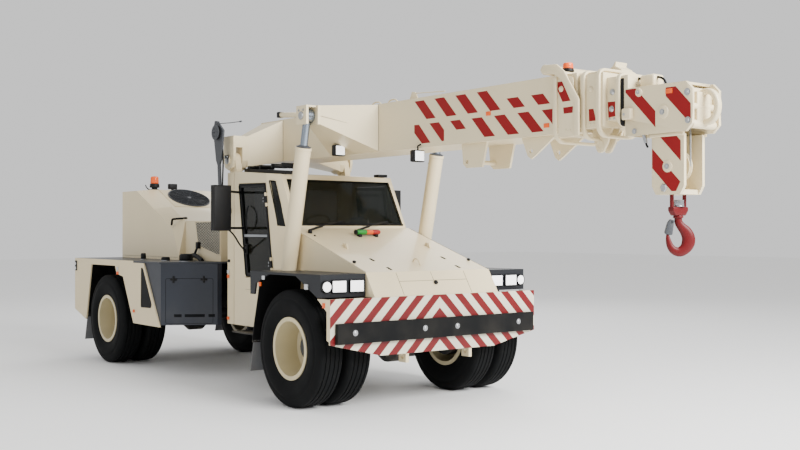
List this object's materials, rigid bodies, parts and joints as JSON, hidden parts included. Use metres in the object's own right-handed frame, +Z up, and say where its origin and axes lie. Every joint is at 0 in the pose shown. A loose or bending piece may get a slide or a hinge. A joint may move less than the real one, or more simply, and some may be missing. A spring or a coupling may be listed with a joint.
{
  "type": "articulated pick-and-carry mobile crane",
  "caption": "Articulated mobile crane: cab module with a telescopic boom over its roof, hook block at the head, twin tyres, and a hinged engine module behind.",
  "frame": {"origin": "on the ground, on the centre plane, halfway between the tail panel and the boom's nose wheel", "axes": "+X is forward along the boom, +Y is the machine's left, +Z is up"},
  "size_m": [10.2999, 2.778, 3.244],
  "materials": {
    "cream_paint": "satin cream paint",
    "slate_paint": "satin blue-grey paint",
    "rim_paint": "cream wheel paint",
    "chassis_black": "black chassis paint",
    "black_trim": "moulded black plastic",
    "cab_plastic": "dark grained plastic",
    "seat_fabric": "dark woven fabric",
    "black_rubber": "black rubber",
    "grey_rubber": "grey rubber sheet",
    "tyre_rubber": "black tyre rubber",
    "tinted_glass": "dark tinted safety glass",
    "lamp_glass": "clear lamp glass",
    "dark_steel": "dark grey paint",
    "rope_steel": "bright stranded wire",
    "rod_chrome": "polished hard chrome",
    "hook_red": "red paint"
  },
  "bodies": {
    "cab_module": {"front_frame": "chassis_black", "front_axle": "chassis_black", "bumper": "cream_paint", "bumper_pad": "black_rubber", "nose_cowl": "cream_paint", "front_fenders": "slate_paint", "arch_liners": "black_trim", "front_mudflaps": "grey_rubber", "headlamps": "lamp_glass", "seat_pads": "seat_fabric", "seat_base": "chassis_black", "dashboard": "cab_plastic", "steering_wheel": "cab_plastic", "cab_shell": "cream_paint", "cab_glass": "tinted_glass", "reel_bracket": "dark_steel", "roof_tray": "black_trim"},
    "rear_module": {"rear_frame": "chassis_black", "rear_axle": "chassis_black", "rear_body": "cream_paint", "tanks": "slate_paint", "engine_hood": "cream_paint", "radiator": "cream_paint", "engine_block": "dark_steel", "rear_mudflaps": "grey_rubber"},
    "door_right": {"door_right": "black_trim", "door_glass_right": "tinted_glass", "mirror_right": "black_trim"},
    "door_left": {"door_left": "black_trim", "door_glass_left": "tinted_glass", "mirror_left": "black_trim"},
    "boom": {"boom_base": "cream_paint", "winch": "dark_steel"},
    "boom_second": {"boom_second": "cream_paint"},
    "boom_third": {"boom_third": "cream_paint"},
    "boom_tip": {"boom_tip": "cream_paint"},
    "head_sheave": {"head_sheave": "dark_steel"},
    "hoist_rope": {"rope_upper": "rope_steel"},
    "hook_block": {"hook_block": "cream_paint", "block_sheave": "dark_steel", "rope_lower": "rope_steel"},
    "hook": {"hook": "hook_red"},
    "lift_barrels": {"lift_barrels": "cream_paint"},
    "lift_rods": {"lift_rods": "rod_chrome"},
    "steer_barrel_right": {"steer_barrel_right": "chassis_black"},
    "steer_rod_right": {"steer_rod_right": "rod_chrome"},
    "steer_barrel_left": {"steer_barrel_left": "chassis_black"},
    "steer_rod_left": {"steer_rod_left": "rod_chrome"},
    "wheel_front_right": {"rim_front_right": "rim_paint", "tyres_front_right": "tyre_rubber"},
    "wheel_front_left": {"rim_front_left": "rim_paint", "tyres_front_left": "tyre_rubber"},
    "wheel_rear_right": {"rim_rear_right": "rim_paint", "tyres_rear_right": "tyre_rubber"},
    "wheel_rear_left": {"rim_rear_left": "rim_paint", "tyres_rear_left": "tyre_rubber"}
  },
  "joints": [
    {"name": "steering", "type": "hinge", "parent": "cab_module", "child": "rear_module", "pos_m": [-1.75, 0, 0.8], "axis": [0, 0, 1], "range_deg": [-35, 35]},
    {"name": "boom_luff", "type": "hinge", "parent": "cab_module", "child": "boom", "pos_m": [-1.32, 0, 2.7], "axis": [0, -1, 0], "range_deg": [0, 60]},
    {"name": "boom_extend", "type": "slide", "parent": "boom", "child": "boom_second", "axis": [1, 0, 0], "range_m": [0, 3.8]},
    {"name": "boom_extend_third", "type": "slide", "parent": "boom_second", "child": "boom_third", "axis": [1, 0, 0], "range_m": [0, 3.8]},
    {"name": "boom_extend_tip", "type": "slide", "parent": "boom_third", "child": "boom_tip", "axis": [1, 0, 0], "range_m": [0, 3.8]},
    {"name": "head_level", "type": "hinge", "parent": "boom_tip", "child": "head_sheave", "pos_m": [4.738, 0, 2.8], "axis": [0, -1, 0], "range_deg": [-60, 0]},
    {"name": "rope_payout", "type": "slide", "parent": "head_sheave", "child": "hoist_rope", "axis": [0, 0, -1], "range_m": [0, 0.63]},
    {"name": "hook_hoist", "type": "slide", "parent": "hoist_rope", "child": "hook_block", "axis": [0, 0, -1], "range_m": [0, 1.4], "deforming": ["rope_upper"]},
    {"name": "hook_swivel", "type": "hinge", "parent": "hook_block", "child": "hook", "pos_m": [4.738, 0, 2.1], "axis": [0, 0, 1], "continuous": true},
    {"name": "lift_barrel_turn", "type": "hinge", "parent": "cab_module", "child": "lift_barrels", "pos_m": [0.07, 0, 0.95], "axis": [0, -1, 0], "range_deg": [0, 26]},
    {"name": "lift_rod_slide", "type": "slide", "parent": "lift_barrels", "child": "lift_rods", "axis": [0.2232, 0, 0.9748], "range_m": [0, 1.47]},
    {"name": "steer_barrel_right_turn", "type": "hinge", "parent": "cab_module", "child": "steer_barrel_right", "pos_m": [-1.05, -0.5, 0.88], "axis": [0, 0, 1], "range_deg": [-5, 5]},
    {"name": "steer_rod_right_slide", "type": "slide", "parent": "steer_barrel_right", "child": "steer_rod_right", "axis": [-0.9826, 0.1856, 0], "range_m": [-0.22, 0.22]},
    {"name": "door_right_hinge", "type": "hinge", "parent": "cab_module", "child": "door_right", "pos_m": [-0.258, -0.894, 1.314], "axis": [-0.1622, 0, 0.9868], "range_deg": [0, 70]},
    {"name": "steer_barrel_left_turn", "type": "hinge", "parent": "cab_module", "child": "steer_barrel_left", "pos_m": [-1.05, 0.5, 0.88], "axis": [0, 0, 1], "range_deg": [-5, 5]},
    {"name": "steer_rod_left_slide", "type": "slide", "parent": "steer_barrel_left", "child": "steer_rod_left", "axis": [-0.9826, -0.1856, 0], "range_m": [-0.22, 0.22]},
    {"name": "door_left_hinge", "type": "hinge", "parent": "cab_module", "child": "door_left", "pos_m": [-0.258, 0.894, 1.314], "axis": [0.1622, 0, -0.9868], "range_deg": [0, 70]},
    {"name": "wheel_front_right_spin", "type": "hinge", "parent": "cab_module", "child": "wheel_front_right", "pos_m": [0.85, -1.041, 0.613], "axis": [0, 1, 0], "continuous": true},
    {"name": "wheel_front_left_spin", "type": "hinge", "parent": "cab_module", "child": "wheel_front_left", "pos_m": [0.85, 1.041, 0.613], "axis": [0, 1, 0], "continuous": true},
    {"name": "wheel_rear_right_spin", "type": "hinge", "parent": "rear_module", "child": "wheel_rear_right", "pos_m": [-3.994, -1.041, 0.613], "axis": [0, 1, 0], "continuous": true},
    {"name": "wheel_rear_left_spin", "type": "hinge", "parent": "rear_module", "child": "wheel_rear_left", "pos_m": [-3.994, 1.041, 0.613], "axis": [0, 1, 0], "continuous": true}
  ],
  "couplings": [
    {"joint": "boom_extend_third", "follows": "boom_extend", "ratio": 1},
    {"joint": "boom_extend_tip", "follows": "boom_extend", "ratio": 1},
    {"joint": "head_level", "follows": "boom_luff", "ratio": -1},
    {"joint": "rope_payout", "follows": "boom_luff", "m_per_rad": 0.6},
    {"joint": "lift_barrel_turn", "follows": "boom_luff", "ratio": 0.4208},
    {"joint": "lift_rod_slide", "follows": "boom_luff", "m_per_rad": 1.3992},
    {"joint": "steer_barrel_right_turn", "follows": "steering", "ratio": 0.12053},
    {"joint": "steer_rod_right_slide", "follows": "steering", "m_per_rad": -0.34682},
    {"joint": "steer_barrel_left_turn", "follows": "steering", "ratio": 0.12053},
    {"joint": "steer_rod_left_slide", "follows": "steering", "m_per_rad": 0.34682}
  ]
}
